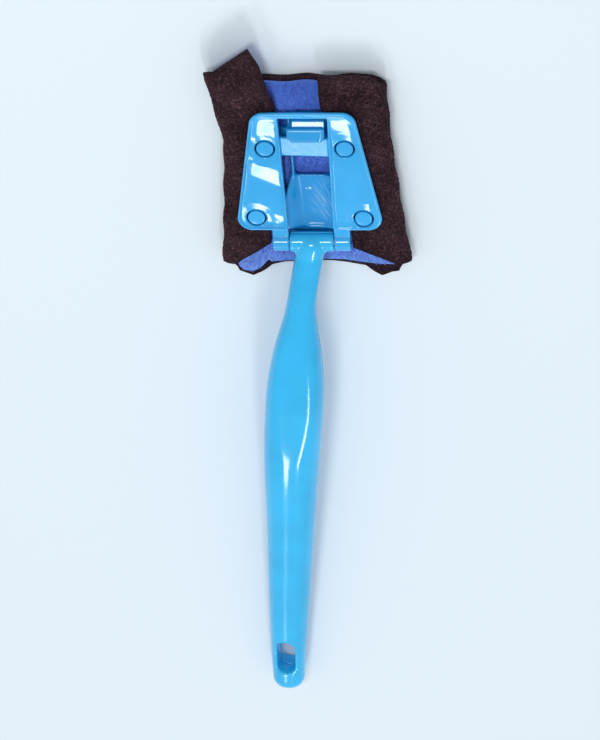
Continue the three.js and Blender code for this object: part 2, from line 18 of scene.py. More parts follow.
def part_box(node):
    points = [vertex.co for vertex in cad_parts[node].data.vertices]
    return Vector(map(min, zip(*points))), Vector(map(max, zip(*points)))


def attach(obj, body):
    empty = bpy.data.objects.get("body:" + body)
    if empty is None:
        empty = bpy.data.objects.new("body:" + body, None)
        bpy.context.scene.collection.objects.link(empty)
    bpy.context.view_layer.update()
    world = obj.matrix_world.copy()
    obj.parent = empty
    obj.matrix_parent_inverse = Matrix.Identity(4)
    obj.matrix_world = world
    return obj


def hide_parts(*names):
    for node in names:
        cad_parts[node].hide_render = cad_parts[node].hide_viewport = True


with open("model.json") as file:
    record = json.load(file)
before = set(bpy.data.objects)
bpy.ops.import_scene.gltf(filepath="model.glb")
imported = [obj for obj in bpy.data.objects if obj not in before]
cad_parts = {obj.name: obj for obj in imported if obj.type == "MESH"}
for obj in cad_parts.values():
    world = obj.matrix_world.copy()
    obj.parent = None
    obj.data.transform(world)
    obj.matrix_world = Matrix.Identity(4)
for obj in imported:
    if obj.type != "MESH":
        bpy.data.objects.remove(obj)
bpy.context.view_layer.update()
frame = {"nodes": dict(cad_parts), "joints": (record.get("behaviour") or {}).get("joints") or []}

MM = 0.001
scene = bpy.context.scene
joint_places = {joint["name"]: np.array(joint["pos_m"]) / MM for joint in frame["joints"]}
hinge_y, hinge_z = joint_places["handle_pivot"][1:]
latch_x, latch_y, latch_z = joint_places["latch_release"]


def reach(node):
    """Lowest and highest corner of a node, in millimetres."""
    low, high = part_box(node)
    return np.array(low) / MM, np.array(high) / MM


print("nodes:", sorted(frame["nodes"]))
print("hinge line at y, z:", hinge_y.round(2), hinge_z.round(2))

# %% [markdown]
# ## Camera
# The brush was seen from the head's end, from well above, with the head at the top of the
# picture. A camera could be aimed with a Track To constraint, but three turns about its aim
# give the small roll as well, and stay the same on every run.

# %% Camera
picture_height = 740
camera_tilt = math.radians(39.7)
camera_turn = math.radians(6.2)
camera_roll = math.radians(0.34)
camera_aim = Vector((0, -130, 10)) * MM
camera_offset = Vector((-11.6, 7.4, 2000)) * MM
focal_pixels = 4296
sensor_mm = 36

camera_turns = (Matrix.Rotation(-camera_tilt, 4, "X") @ Matrix.Rotation(camera_turn, 4, "Y")
                @ Matrix.Rotation(camera_roll, 4, "Z"))
camera_data = bpy.data.cameras.new("camera")
camera_data.sensor_width = sensor_mm
camera_data.lens = focal_pixels / picture_height * sensor_mm
camera_data.clip_end = 20
camera = bpy.data.objects.new("camera", camera_data)
camera.matrix_world = Matrix.Translation(camera_aim) @ camera_turns @ Matrix.Translation(camera_offset)
scene.collection.objects.link(camera)
scene.camera = camera
print("lens in mm:", round(camera_data.lens, 1), "eye in m:", camera.matrix_world.translation)

# %% [markdown]
# ## Plastic
# The handle and the head are moulded in light-blue glossy plastic. The plate and the latch get
# a darker tint of it, painted shade for the shadow down in the frame's window where they lie.
# A flat colour would look like paint, so slow clouds of tint stand for the uneven pigment,
# fine grain changes the gloss a little, and a faint bump gives the skin of a moulding. All of it
# is computed from the piece's own coordinates, so it stays put when the piece moves.

# %% Material helpers
def feed(socket, value):
    """Link another node's output to a socket, or set the socket to a plain value."""
    if isinstance(value, bpy.types.NodeSocket):
        socket.id_data.links.new(value, socket)
    else:
        socket.default_value = value


def fill(node, **values):
    """Set a node's options, written small, and its inputs, written with a capital."""
    for key, value in values.items():
        if key[0].islower():
            setattr(node, key, value)
        else:
            feed(node.inputs[key.replace("_", " ")], value)
    return node


def start_material(name):
    """A new material, its main shader, a short way to add nodes, and the piece's coordinates."""
    material = bpy.data.materials.new(name)
    material.use_nodes = True
    nodes = material.node_tree.nodes

    def make(kind, **values):
        return fill(nodes.new("ShaderNode" + kind), **values)

    return material, nodes["Principled BSDF"], make, make("TexCoord").outputs["Object"]


def noise(make, place, scale, detail, roughness=0.5):
    node = make("TexNoise", Vector=place, Scale=scale, Detail=detail, Roughness=roughness)
    return node.outputs["Fac"]


def tint_ramp(make, source, stops):
    """A colour ramp between two (place, colour) stops."""
    ramp = make("ValToRGB", Fac=source)
    for element, (place, colour) in zip(ramp.color_ramp.elements, stops):
        element.position = place
        element.color = (*colour, 1)
    return ramp.outputs["Color"]


def spread(make, source, low, high, start=0, end=1):
    """Map values between start and end to values between low and high."""
    node = make("MapRange", Value=source, From_Min=start, From_Max=end, To_Min=low, To_Max=high)
    return node.outputs["Result"]


def blend(make, share, colour, other):
    """Mix another colour into a colour."""
    return make("Mix", data_type="RGBA", Factor=share, A=colour, B=(*other, 1)).outputs["Result"]


def calculate(make, operation, *values):
    """Arithmetic with node outputs and plain numbers."""
    node = make("Math", operation=operation)
    for socket, value in zip(node.inputs, values):
        feed(socket, value)
    return node.outputs["Value"]


def shade(colour, factor):
    """The same colour, lighter or darker."""
    return tuple(min(channel * factor, 1) for channel in colour)


# %% Moulded plastic
def scuffs(make, place):
    """Hair scratches: slanting streaks of noise that fade out round one spot of the ramp."""
    slant = make("Mapping", vector_type="TEXTURE", Vector=place,
                 Rotation=(0, 0, math.radians(-54)), Scale=(0.008, 0.0004, 0.002))
    hairs = noise(make, slant.outputs["Vector"], 1, 3)
    lines = tint_ramp(make, hairs, [(0.5, (0, 0, 0)), (0.66, (1, 1, 1))])
    around = make("Mapping", vector_type="TEXTURE", Vector=place,
                  Location=(0.007, -0.021, 0.009), Scale=(0.009, 0.014, 0.014))
    spot = make("TexGradient", gradient_type="SPHERICAL", Vector=around.outputs["Vector"])
    both = calculate(make, "MULTIPLY", lines, spot.outputs["Fac"])
    return tint_ramp(make, both, [(0.02, (0, 0, 0)), (0.5, (0.5, 0.5, 0.5))])


def moulded_plastic(name, colour, roughness, scuffed=False):
    """Glossy plastic with clouds of tint, fine grain and, where scuffed, pale scratches."""
    material, shader, make, place = start_material(name)
    cloud = noise(make, place, 45, 3)
    tint = tint_ramp(make, cloud, [(0.3, shade(colour, 0.93)), (0.7, shade(colour, 1.06))])
    if scuffed:
        tint = blend(make, scuffs(make, place), tint, (0.36, 0.62, 0.85))
    grain = noise(make, place, 420, 5)
    skin_bump = make("Bump", Height=grain, Strength=0.04, Distance=0.0002)
    gloss = spread(make, grain, roughness * 0.7, roughness * 1.3)
    fill(shader, IOR=1.5, Base_Color=tint, Roughness=gloss, Normal=skin_bump.outputs["Normal"])
    return material


handle_blue = (0.024, 0.455, 0.83)
head_blue = (0.034, 0.39, 0.79)
# A darker tint for the plate and the latch: painted shade, for the shadow down in the frame's window.
shaded_plate_blue = (0.013, 0.295, 0.67)
handle_plastic = moulded_plastic("handle_plastic", handle_blue, 0.13)
head_plastic = moulded_plastic("head_plastic", head_blue, 0.11)
rubbed_plastic = moulded_plastic("rubbed_plastic", head_blue, 0.3)
# The latch and the scuffed plate both take the darker tint of painted shade.
shaded_latch_plastic = moulded_plastic("shaded_latch_plastic", shaded_plate_blue, 0.14)
scuffed_shaded_plastic = moulded_plastic("scuffed_shaded_plastic", shaded_plate_blue, 0.15, scuffed=True)
print("plastics:", handle_plastic.name, head_plastic.name, scuffed_shaded_plastic.name)

# %% [markdown]
# ## Cloth finishes and steel
# The scouring sheet is a coarse web of dark-brown fibres, and the fleece inside it a short blue
# pile. Real fibres are added as geometry later on. The materials carry what lies between them:
# speckle, a rough bump and a soft sheen on the fleece. A picture of cloth could be laid on
# instead, but noise needs no file and shows no seams. The hinge pin is plain turned steel.

# %% Cloth finishes and steel
def fibre_cloth(name, dark, light, speck_scale, bump, sheen, painted_light=None):
    """Matt cloth, speckled between two tints, with a lighter tint of painted light at the hinge's end."""
    material, shader, make, place = start_material(name)
    speck = noise(make, place, speck_scale, 6, 0.75)
    drift = spread(make, noise(make, place, 70, 2), 0, 0.25)
    mottle = calculate(make, "MULTIPLY_ADD", speck, 0.75, drift)
    tint = tint_ramp(make, mottle, [(0.38, dark), (0.62, light)])
    # Towards the hinge's end the colour is lifted to a lighter tint: painted light on the fleece's near strip
    # and tongue.
    if painted_light:
        split = make("SeparateXYZ", Vector=place)
        nearness = spread(make, split.outputs["Y"], 0.7, 0, -0.058, -0.046)
        tint = blend(make, nearness, tint, painted_light)
    rough = make("Bump", Height=speck, Strength=bump, Distance=0.0006)
    fill(shader, Base_Color=tint, Normal=rough.outputs["Normal"], Roughness=0.95,
         Specular_IOR_Level=0.15, Sheen_Weight=sheen, Sheen_Roughness=0.6)
    return material


def turned_steel(name):
    """Plain steel with fine rings round it, as turning leaves them."""
    material, shader, make, place = start_material(name)
    stretch = make("Mapping", Vector=place, Scale=(4000, 300, 300))
    rings = noise(make, stretch.outputs["Vector"], 1, 3)
    fill(shader, Metallic=1, Base_Color=(0.55, 0.57, 0.6, 1), Roughness=spread(make, rings, 0.18, 0.42))
    return material


brown_web = fibre_cloth("brown_web", (0.001, 0.0005, 0.0008), (0.045, 0.02, 0.028), 900, 1.0, 0.0)
brown_strand = fibre_cloth("brown_strand", (0.002, 0.001, 0.0015), (0.19, 0.088, 0.115), 700, 0.2, 0.0)
# A lighter fleece blue painted on near the hinge's end: painted light on the near strip and the curled
# tongue.
painted_light_blue = (0.2, 0.36, 0.84)
blue_fleece = fibre_cloth("blue_fleece", (0.04, 0.11, 0.5), (0.105, 0.24, 0.82), 1300, 0.6, 0.2, painted_light_blue)
blue_pile = fibre_cloth("blue_pile", (0.06, 0.15, 0.6), (0.14, 0.29, 0.88), 300, 0.2, 0.2, painted_light_blue)
steel_wire = turned_steel("steel_wire")
print("cloth:", brown_web.name, brown_strand.name, blue_fleece.name, blue_pile.name)

# %% [markdown]
# ## Moulded shapes from distance fields
# A moulding is plates, rods and hollows that flow into each other with fillets. Box modelling
# with bevels breaks down where many fillets meet, and booleans leave hard seams. Here each
# moulding is a formula: a distance that is negative inside the plastic. A smooth minimum
# joins two shapes with a fillet, a smooth maximum cuts one by another with a rounded edge.

# %% Distance helpers
def smooth_min(a, b, fillet):
    """The nearer of two shapes, flowing together over the fillet's width."""
    near = np.maximum(fillet - np.abs(a - b), 0) / fillet
    return np.minimum(a, b) - near * near * fillet / 4


def smooth_max(a, b, fillet):
    """Where two shapes overlap, with the edge between them rounded."""
    return -smooth_min(-a, -b, fillet)


def ease(t):
    """A soft step from 0 to 1."""
    held = np.clip(t, 0, 1)
    return held * held * (3 - 2 * held)


def mix(a, b, t):
    return a + (b - a) * t


def rounded(parts, edge):
    """Distance from the excess beyond each pair of faces, with round edges."""
    outside = np.sqrt(sum(np.maximum(part, 0) ** 2 for part in parts))
    return outside + np.minimum(np.maximum.reduce(parts), 0) - edge


def block(x, y, z, low, high, edge):
    """A box with round edges."""
    parts = []
    for value, lowest, highest in zip((x, y, z), low, high):
        parts.append(np.abs(value - (lowest + highest) / 2) - (highest - lowest) / 2 + edge)
    return rounded(parts, edge)


def rod(x, y, z, middle_y, middle_z, radius, start, end, edge):
    """A round bar along X with round edges."""
    across = np.hypot(y - middle_y, z - middle_z) - radius + edge
    along = np.abs(x - (start + end) / 2) - (end - start) / 2 + edge
    return rounded([across, along], edge)


def symmetric(rows, shift=0):
    """Corners of a symmetric outline through (half width, y) rows, from its near end to its far end."""
    right = [(shift + half, y) for half, y in rows]
    return right + [(shift - half, y) for half, y in reversed(rows)]


def outline(x, y, corners, radius=0.0):
    """Distance to a convex outline, corners anticlockwise and rounded by the radius."""
    points = np.array(corners, float)
    edges = np.roll(points, -1, axis=0) - points
    inward = np.stack([-edges[:, 1], edges[:, 0]], 1) / np.linalg.norm(edges, axis=1)[:, None]
    before = np.roll(inward, 1, axis=0)
    points = points + radius * (before + inward) / (1 + (before * inward).sum(1))[:, None]
    edges = np.roll(points, -1, axis=0) - points
    nearest = np.full(x.shape, np.inf)
    deepest = np.full(x.shape, -np.inf)
    for point, edge, normal in zip(points, edges, inward):
        off_x, off_y = x - point[0], y - point[1]
        share = np.clip((off_x * edge[0] + off_y * edge[1]) / (edge @ edge), 0, 1)
        nearest = np.minimum(nearest, (off_x - share * edge[0]) ** 2 + (off_y - share * edge[1]) ** 2)
        deepest = np.maximum(deepest, -(off_x * normal[0] + off_y * normal[1]))
    return np.where(deepest < 0, deepest, np.sqrt(nearest)) - radius


# %% [markdown]
# A formula has no faces, so a skin is drawn over it. Space is cut into small cells, each cell
# that the surface crosses gets one point, and four neighbouring points make a face. The points
# are then pulled on to the exact surface and evened out, which is what keeps the gloss clean.

# %% Skin over a distance field
def make_object(name, points, faces, material):
    """A smooth mesh object from points in millimetres and a list of faces."""
    mesh = bpy.data.meshes.new(name)
    mesh.from_pydata((np.asarray(points) * MM).tolist(), [], faces)
    mesh.polygons.foreach_set("use_smooth", [True] * len(mesh.polygons))
    mesh.materials.append(material)
    piece = bpy.data.objects.new(name, mesh)
    scene.collection.objects.link(piece)
    return piece


def cells_to_faces(inside, number):
    """Join the points of the four cells round each grid edge that crosses the surface."""
    faces = []
    for axis in range(3):
        change = np.diff(inside.astype(np.int8), axis=axis)
        spots = np.stack(np.nonzero(change), 1)
        second, third = (axis + 1) % 3, (axis + 2) % 3
        ring = []
        for step_second, step_third in ((-1, -1), (0, -1), (0, 0), (-1, 0)):
            cell = spots.copy()
            cell[:, second] += step_second
            cell[:, third] += step_third
            ring.append(number[tuple(cell.T)])
        quads = np.stack(ring, 1)
        outward = change[tuple(spots.T)] < 0
        faces.append(np.where(outward[:, None], quads, quads[:, ::-1]))
    return np.concatenate(faces)


def pull(points, field, cell):
    """Move points along the field's slope on to its surface."""
    probe = 0.2 * cell
    slope = np.empty_like(points)
    for axis, unit in enumerate(np.eye(3) * probe):
        slope[:, axis] = (field(*(points + unit).T) - field(*(points - unit).T)) / (2 * probe)
    move = field(*points.T)[:, None] * slope / np.maximum((slope ** 2).sum(1), 1e-6)[:, None]
    length = np.linalg.norm(move, axis=1)
    return points - move * np.minimum(1, cell / np.maximum(length, 1e-9))[:, None]


def relax(points, faces):
    """Move each point half-way to the middle of its neighbours."""
    start = faces.ravel()
    end = np.roll(faces, -1, axis=1).ravel()
    count = np.bincount(start, minlength=len(points))
    total = [np.bincount(start, points[end, axis], len(points)) for axis in range(3)]
    return (points + np.stack(total, 1) / count[:, None]) / 2


def skin(name, field, low, high, cell, material):
    """Draw a smooth mesh over a distance field inside a box."""
    axes = [np.arange(a - 2 * cell, b + 3 * cell, cell) for a, b in zip(low, high)]
    inside = field(*np.meshgrid(*axes, indexing="ij")) < 0
    size = [count - 1 for count in inside.shape]
    filled = np.zeros(size, np.int8)
    for i, j, k in product((0, 1), repeat=3):
        filled += inside[i:i + size[0], j:j + size[1], k:k + size[2]]
    crossed = (filled > 0) & (filled < 8)
    number = np.full(size, -1)
    number[crossed] = np.arange(crossed.sum())
    points = np.stack([axis[spot] + cell / 2 for axis, spot in zip(axes, np.nonzero(crossed))], 1)
    faces = cells_to_faces(inside, number)
    for _ in range(3):
        points = relax(pull(pull(points, field, cell), field, cell), faces)
    points = pull(pull(points, field, cell), field, cell)
    piece = make_object(name, points, faces.tolist(), material)
    print(name, "points:", len(points), "faces:", len(faces))
    return piece


def finish_piece(piece, body, slot, *replaced):
    """Let a piece move with its body and stand for its nodes."""
    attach(piece, body)
    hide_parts(*replaced)


# %% [markdown]
# ## Handle
# The handle is two moulded shells, front and back, that meet in a fine parting line. Its middle
# line leans to the left of the head and arches up, its width swells for the hand, and a shallow
# oval is pressed into the front for the thumb. A list of stations gives the line and the width,
# read by a smooth curve, and every section is a slightly squared oval.

# %% Handle stations
handle_length = hinge_y - reach("handle_back_shell")[0][1]
barrel_radius = 4.6
barrel_half = 10.0
neck_rows = [(0, 0, 0, 13.4), (7, -1.6, 0.4, 13.2), (23, -5, 5.6, 13.2), (35, -7, 8.4, 14.2)]
grip_rows = [
    (0.08, -9.5, 11.8, 21.8),
    (0.15, -11.3, 13.1, 26.2),
    (0.21, -12.8, 13.5, 27.4),
    (0.34, -16.2, 12.7, 26.6),
    (0.535, -20.4, 8.2, 23.2),
    (0.75, -25.2, 3.4, 20),
    (0.9, -28.3, 1, 17.2),
    (0.97, -29.4, 0.2, 15.8),
    (1, -29.6, 0, 15.8),
]
neck_end = neck_rows[-1][0]
handle_rows = np.array(
    neck_rows + [(mix(neck_end, handle_length, share), *rest) for share, *rest in grip_rows], float
)
section_depth = 0.88
neck_flat = barrel_radius + 1
end_half_depth = handle_rows[-1, 3] * section_depth / 2


def smooth_read(rows, out, column=1):
    """Smooth reading of one column of a list of stations."""
    places, values = rows[:, 0], rows[:, column]
    order = np.arange(len(places))
    before, after = np.maximum(order - 1, 0), np.minimum(order + 1, len(places) - 1)
    slopes = (values[after] - values[before]) / (places[after] - places[before])
    i = np.clip(np.searchsorted(places, out) - 1, 0, len(places) - 2)
    span = places[i + 1] - places[i]
    t = np.clip((out - places[i]) / span, 0, 1)
    rise = (t ** 3 - 2 * t ** 2 + t) * slopes[i] + (t ** 3 - t ** 2) * slopes[i + 1]
    return mix(values[i], values[i + 1], 3 * t ** 2 - 2 * t ** 3) + span * rise


def station(out, column):
    """One column of the handle's stations, at a distance out from the hinge."""
    return smooth_read(handle_rows, out, column)


def handle_middle(out):
    """Sideways place and height of the handle's middle line."""
    past = np.maximum(out - neck_flat, 0)
    arch = np.maximum(station(out, 2), 0) * ease(past / neck_flat)
    fall = mix(0, end_half_depth - hinge_z, past / (handle_length - neck_flat))
    return station(out, 1), hinge_z + fall + arch


print("handle length:", handle_length.round(1), "widest:", handle_rows[:, 3].max())

# %% Handle shape
section_power = 2.25
dome_out, dome_swell, dome_run = 2.5, 0.05, 30
neck_radius = handle_rows[0, 3] / 2
end_round = 8.0
thumb_out, thumb_half_length, thumb_depth = 74.0, 30.0, 1.7
thumb_left = 1.2
thumb_hollow, thumb_fillet = 0.008, 2.0
slot_out = handle_length - 25.5
slot_run, slot_middle_radius, slot_draft = 6.9, 4.1, 0.06
slot_lean, slot_fillet = 0.15, 1.2
pin_bore = 1.85
seam_half, seam_fillet = 0.1, 0.35
barrel_fillet, neck_fillet = 0.4, 3


def hanging_slot(x, y, z):
    """The slot near the handle's end. Its walls draft in to a ridge at the parting line."""
    middle_x, middle_z = handle_middle(np.array([slot_out - 1, slot_out, slot_out + 1]))
    lean = (middle_x[2] - middle_x[0]) / 2
    off_x, off_y = x - middle_x[1] + slot_lean * (z - middle_z[1]), y - (hinge_y - slot_out)
    across = (off_x + lean * off_y) / math.hypot(1, lean)
    along = (lean * off_x - off_y) / math.hypot(1, lean)
    radius = slot_middle_radius + slot_draft * np.abs(z - middle_z[1])
    return np.hypot(across, np.maximum(np.abs(along) - slot_run, 0)) - radius


def handle_shape(x, y, z):
    """The whole handle, before it is split into its two shells."""
    out = hinge_y - y
    middle_x, middle_z = handle_middle(out)
    half = station(out, 3) / 2
    depth = half * section_depth * (1 + dome_swell * (1 - ease(out / dome_run)))
    excess = [
        np.abs(x - middle_x) / half,
        np.abs(z - middle_z) / depth,
        np.maximum(dome_out - out, 0) / neck_radius,
        np.maximum(out - handle_length + end_round, 0) / end_round,
    ]
    body = (sum(part ** section_power for part in excess) ** (1 / section_power) - 1) * neck_radius
    pressed = 1 - ((out - thumb_out) / thumb_half_length) ** 2
    floor = middle_z + depth - thumb_depth * pressed + thumb_hollow * (x - middle_x + thumb_left) ** 2
    body = smooth_max(body, z - floor, thumb_fillet)
    barrel = rod(x, y, z, hinge_y, hinge_z, barrel_radius, -barrel_half, barrel_half, 0.5)
    body = smooth_min(body, barrel, mix(barrel_fillet, neck_fillet, ease((out - 2) / 3)))
    body = smooth_max(body, -hanging_slot(x, y, z), slot_fillet)
    return np.maximum(body, pin_bore - np.hypot(y - hinge_y, z - hinge_z))


def handle_shell(front):
    """One shell of the handle, cut at the curved parting surface."""
    def shape(x, y, z):
        _, seam = handle_middle(hinge_y - y)
        past = seam + seam_half - z if front else z - seam + seam_half
        return smooth_max(handle_shape(x, y, z), past, seam_fillet)
    return shape


# %% Handle shells
handle_cell = 0.7
for shell, front in (("front", True), ("back", False)):
    node = f"handle_{shell}_shell"
    piece = skin(f"handle_{shell}_moulding", handle_shell(front), *reach(node), handle_cell, handle_plastic)
    finish_piece(piece, "handle", "handle_plastic", node)

# %% [markdown]
# ## Clamp frame
# The frame is a tapered plate with a rounded border, two dished wings, soft dips round the
# four pegs, a long window and a cross-bar that the latch hooks over. Two ears at its near end
# carry the hinge. Its top is a height map, so the dishes, the dips and the slight sink marks of
# a cooled moulding are sums of soft steps, and the light finds the same slopes as on the real one.

# %% Clamp frame sizes
frame_low, frame_high = reach("clamp_frame")
cloth_top = reach("scouring_sheet")[1][2]
frame_far_y = frame_high[1]
frame_near_y = hinge_y + 8.4
frame_far_half, frame_near_half = 23.0, 33.8
frame_bottom = cloth_top + 0.3
frame_top = frame_bottom + 3.6
frame_corner = 6.5
window_far_y = frame_far_y - 2.9
window_far_half, window_near_half = 10.9, 10.0
bar_near_y, bar_far_y = 6.8, 17.4
bar_top, bar_thickness = frame_top - 1.2, 2.4
bar_slope, bar_twist = 0.1, 0.05
ear_inner, ear_outer, ear_radius = 10.3, 17.6, 4.4
peg_radius, peg_ring_gap = 3.85, 0.7
peg_shift = (0, -1.3)
top_fillet, bottom_fillet, window_fillet, hole_fillet, bar_fillet = 1.5, 3.4, 1.1, 0.7, 0.7
arm_past, arm_drop = 1.5, 1.7
frame_cell = 0.4
pegs = {}
for end, side in product(("far", "near"), ("left", "right")):
    peg_node = f"pad_peg_{end}_{side}"
    low, high = reach(peg_node)
    pegs[peg_node] = (low + high)[:2] / 2 + peg_shift
frame_outline = symmetric([(frame_near_half, frame_near_y), (frame_far_half, frame_far_y)])
window_outline = symmetric([(window_near_half, frame_near_y - 4), (window_far_half, window_far_y)])
print("pegs:", {name: place.round(2).tolist() for name, place in pegs.items()})

# %% Height of the frame's top
border, border_slope, lip = 0.7, 0.09, 0.8
dish_run, right_dish_run, dish_tilt, dish_fillet = 1.3, 4.5, 0.02, 1.5
right_dish_x, right_dish_change = 18, 5
dish_skew, wing_middle = 0.5, 19.0
ripple, ripple_x, ripple_y = 0.05, 0.34, 0.3
left_rows = np.array([(-40, 0.6), (-18, 0.85), (-7, 1.5), (4, 0.35), (17, 1.1), (30, 0), (36, 0)])
right_rows = np.array([(-40, 0.6), (-18, 0.8), (-8, 0.92), (5, 0.78), (17, 1.1), (30, 0), (36, 0)])
dip_inner, dip_run, dip_depth, right_dip_share = 4.7, 4.8, 0.4, 1.15
sinks = [(-16.5, -33, 11, 9, 1.2), (15.5, -27.5, 9, 10, 0.4)]


def peg_distance(x, y):
    """Distance from the rim of the nearest peg hole."""
    nearest = np.full(x.shape, np.inf)
    for peg_x, peg_y in pegs.values():
        nearest = np.minimum(nearest, np.hypot(x - peg_x, y - peg_y) - peg_radius - peg_ring_gap)
    return nearest


def frame_plan(x, y):
    """Distances from the frame's outline, its window and its peg holes."""
    return outline(x, y, frame_outline, frame_corner), outline(x, y, window_outline), peg_distance(x, y)


def frame_height(x, y, edge, window, holes):
    """The frame's top: a border, dished wings that lean left, dips round the pegs and sink marks."""
    run = mix(dish_run, right_dish_run, ease((x - right_dish_x) / right_dish_change))
    inside = ease((smooth_min(-edge - border, window - lip, dish_fillet) + 0.4) / run)
    left = smooth_read(left_rows, y + dish_skew * (x + wing_middle))
    right = smooth_read(right_rows, y + dish_skew * (x - wing_middle))
    depth = np.where(x < 0, left, right) - dish_tilt * np.sign(x) * np.clip(window, 0, 20)
    dip = dip_depth * mix(1, right_dip_share, ease(x / 10))
    depth = depth + dip * (1 - ease((holes + peg_radius + peg_ring_gap - dip_inner) / dip_run))
    for sink_x, sink_y, reach_x, reach_y, sink_depth in sinks:
        depth = depth + sink_depth * (1 - ease(np.hypot((x - sink_x) / reach_x, (y - sink_y) / reach_y)))
    depth = depth + ripple * np.sin(ripple_x * x + 0.17 * y) * np.sin(ripple_y * y - 0.11 * x + 1)
    return frame_top - border_slope * np.clip(-edge, 0, 4) - inside * depth


# %% Clamp frame shape
def clamp_frame(x, y, z):
    """The frame with its cross-bar and its two ears."""
    edge, window, holes = frame_plan(x, y)
    upper = smooth_max(edge, z - frame_height(x, y, edge, window, holes), top_fillet)
    plate = np.maximum(upper, smooth_max(edge, frame_bottom - z, bottom_fillet))
    plate = smooth_max(plate, -window, window_fillet)
    plate = smooth_max(plate, -holes, hole_fillet)
    bar_height = bar_top - 0.3 + bar_slope * (y - bar_far_y) + bar_twist * x
    bar_reach = window_far_half + 1
    bar = block(x, y, z, (-bar_reach, bar_near_y, bar_top - bar_thickness),
                (bar_reach, bar_far_y, bar_top + 1), 0.4)
    bar = smooth_max(bar, z - bar_height, bar_fillet)
    plate = smooth_min(plate, bar, bar_fillet)
    across = np.abs(x)
    arm = block(across, y, z, (ear_inner, hinge_y, frame_bottom),
                (ear_outer, frame_near_y + arm_past, frame_top - arm_drop), 0.4)
    ear = rod(across, y, z, hinge_y, hinge_z, ear_radius, ear_inner, ear_outer, 0.5)
    plate = smooth_min(plate, smooth_min(arm, ear, 0.1), 0.9)
    plate = np.maximum(plate, np.minimum(ear_inner - across, frame_near_y - 1.2 - y))
    return np.maximum(plate, pin_bore - np.hypot(y - hinge_y, z - hinge_z))


frame_piece = skin("frame_moulding", clamp_frame, frame_low, frame_high, frame_cell, head_plastic)
finish_piece(frame_piece, "head", "head_plastic", "clamp_frame")

# %% [markdown]
# The thumb and the latch rub the cross-bar and the far border dull. A second material on the
# faces there is simpler than a painted mask, and it ends at the plastic's own edges.

# %% Rubbed places of the frame
frame_mesh = frame_piece.data
frame_mesh.materials.append(rubbed_plastic)
middles = np.empty(len(frame_mesh.polygons) * 3)
frame_mesh.polygons.foreach_get("center", middles)
face_x, face_y, face_z = middles.reshape(-1, 3).T / MM
on_bar = (np.abs(face_x) < window_near_half) & (face_y > bar_near_y + 0.4) & (face_y < bar_far_y)
on_far_border = (face_y > window_far_y - 0.3) & (np.abs(face_x) < frame_far_half - 4)
rubbed = (on_bar | on_far_border) & (face_z > bar_top - 2)
frame_mesh.polygons.foreach_set("material_index", rubbed.astype(np.int32))
print("rubbed faces:", int(rubbed.sum()))

# %% [markdown]
# ## Base plate
# The plate lies inside the folded sheet. Through the window one sees its ramp, a scuffed
# trough that leads the thumb to the latch, and openings with the fleece under them, parted
# by a thin rail. The rib at its far end holds the latch's foot. The ramp could be a bent grid,
# but its openings would need booleans, so it is a height map inside one distance field.

# %% Base plate sizes
plate_low, plate_high = reach("base_plate")
plate_shift = latch_x
plate_far_y, plate_near_y = plate_high[1], plate_low[1]
plate_bottom, plate_top = plate_low[2], plate_low[2] + 3
plate_far_half, plate_near_half, plate_corner = 29.1, 32.8, 5.0
opening_left, opening_rail, opening_right = -12.4, -6.1, 11.4
opening_far_y, relief_near_y = 8.0, -18.0
rail_width, rail_top = 1.2, 9.6
ramp_far_y, ramp_widest_y, ramp_near_y = -7.2, -19.0, frame_near_y - 2.4
ramp_far_half, ramp_wide_half, ramp_near_half = 8.9, 12.8, 13.0
ramp_foot_far, ramp_foot_near = 5.4, 4.0
ramp_crest, wall_top = plate_top + 2.2, cloth_top - 0.2
ramp_hollow, ramp_power, wall_run = 0.004, 1.4, 12
brow_rise, brow_run = 1.2, 2.4
dent_x, dent_y, dent_depth = 0.0, -16.5, 0.4
dent_length, dent_width = 2.6, 1.3
shelf_near_y, shelf_top, shelf_half = plate_near_y - 5.6, plate_top - 1.2, 10.5
latch_slots = [(-12.6, -8.2), (10.6, 13.6)]
bead_radius, bead_gap = 1.75, 0.35
stem_half, rib_half_depth = 7.3, 3.6
plate_cell = 0.45
plate_outline = symmetric([(plate_near_half, plate_near_y), (plate_far_half, plate_far_y)], plate_shift)
ramp_rows = [(ramp_near_half, ramp_near_y), (ramp_wide_half, ramp_widest_y), (ramp_far_half, ramp_far_y)]
ramp_outline = symmetric(ramp_rows, plate_shift)
opening_outline = [
    (opening_rail, ramp_far_y - 1),
    (opening_right, ramp_far_y - 1),
    (opening_right, opening_far_y),
    (opening_rail, opening_far_y),
]
relief_outline = [
    (plate_shift - ramp_wide_half + 1, relief_near_y),
    (opening_rail - rail_width - 0.4, ramp_far_y),
    (opening_rail - rail_width, opening_far_y),
    (opening_left, opening_far_y),
    (opening_left, relief_near_y + 2),
]
print("plate from y", plate_far_y.round(1), "to", plate_near_y.round(1))

# %% Base plate shape
def ramp_surface(x, y):
    """Height of the trough: a floor that climbs to the hinge, and hollow side walls."""
    share = np.clip((ramp_far_y - y) / (ramp_far_y - ramp_near_y), 0, 1)
    floor = mix(plate_top, ramp_crest, share ** ramp_power) + ramp_hollow * (x - plate_shift + 2) ** 2
    floor = floor + brow_rise * ease((ramp_near_y + brow_run - y) / brow_run) * ease((x + 4) / 4)
    along, across = x - dent_x - y + dent_y, x - dent_x + y - dent_y
    floor = floor - dent_depth * np.exp(-(along / dent_length) ** 2 - (across / dent_width) ** 2)
    wall = mix(rail_top, wall_top, ease((ramp_far_y - y) / wall_run))
    half = np.interp(y, [row[1] for row in ramp_rows], [row[0] for row in ramp_rows])
    foot = mix(ramp_foot_far, ramp_foot_near, share)
    climb = ease((np.abs(x - plate_shift) - foot) / (half - 0.6 - foot))
    return mix(floor, wall, climb)


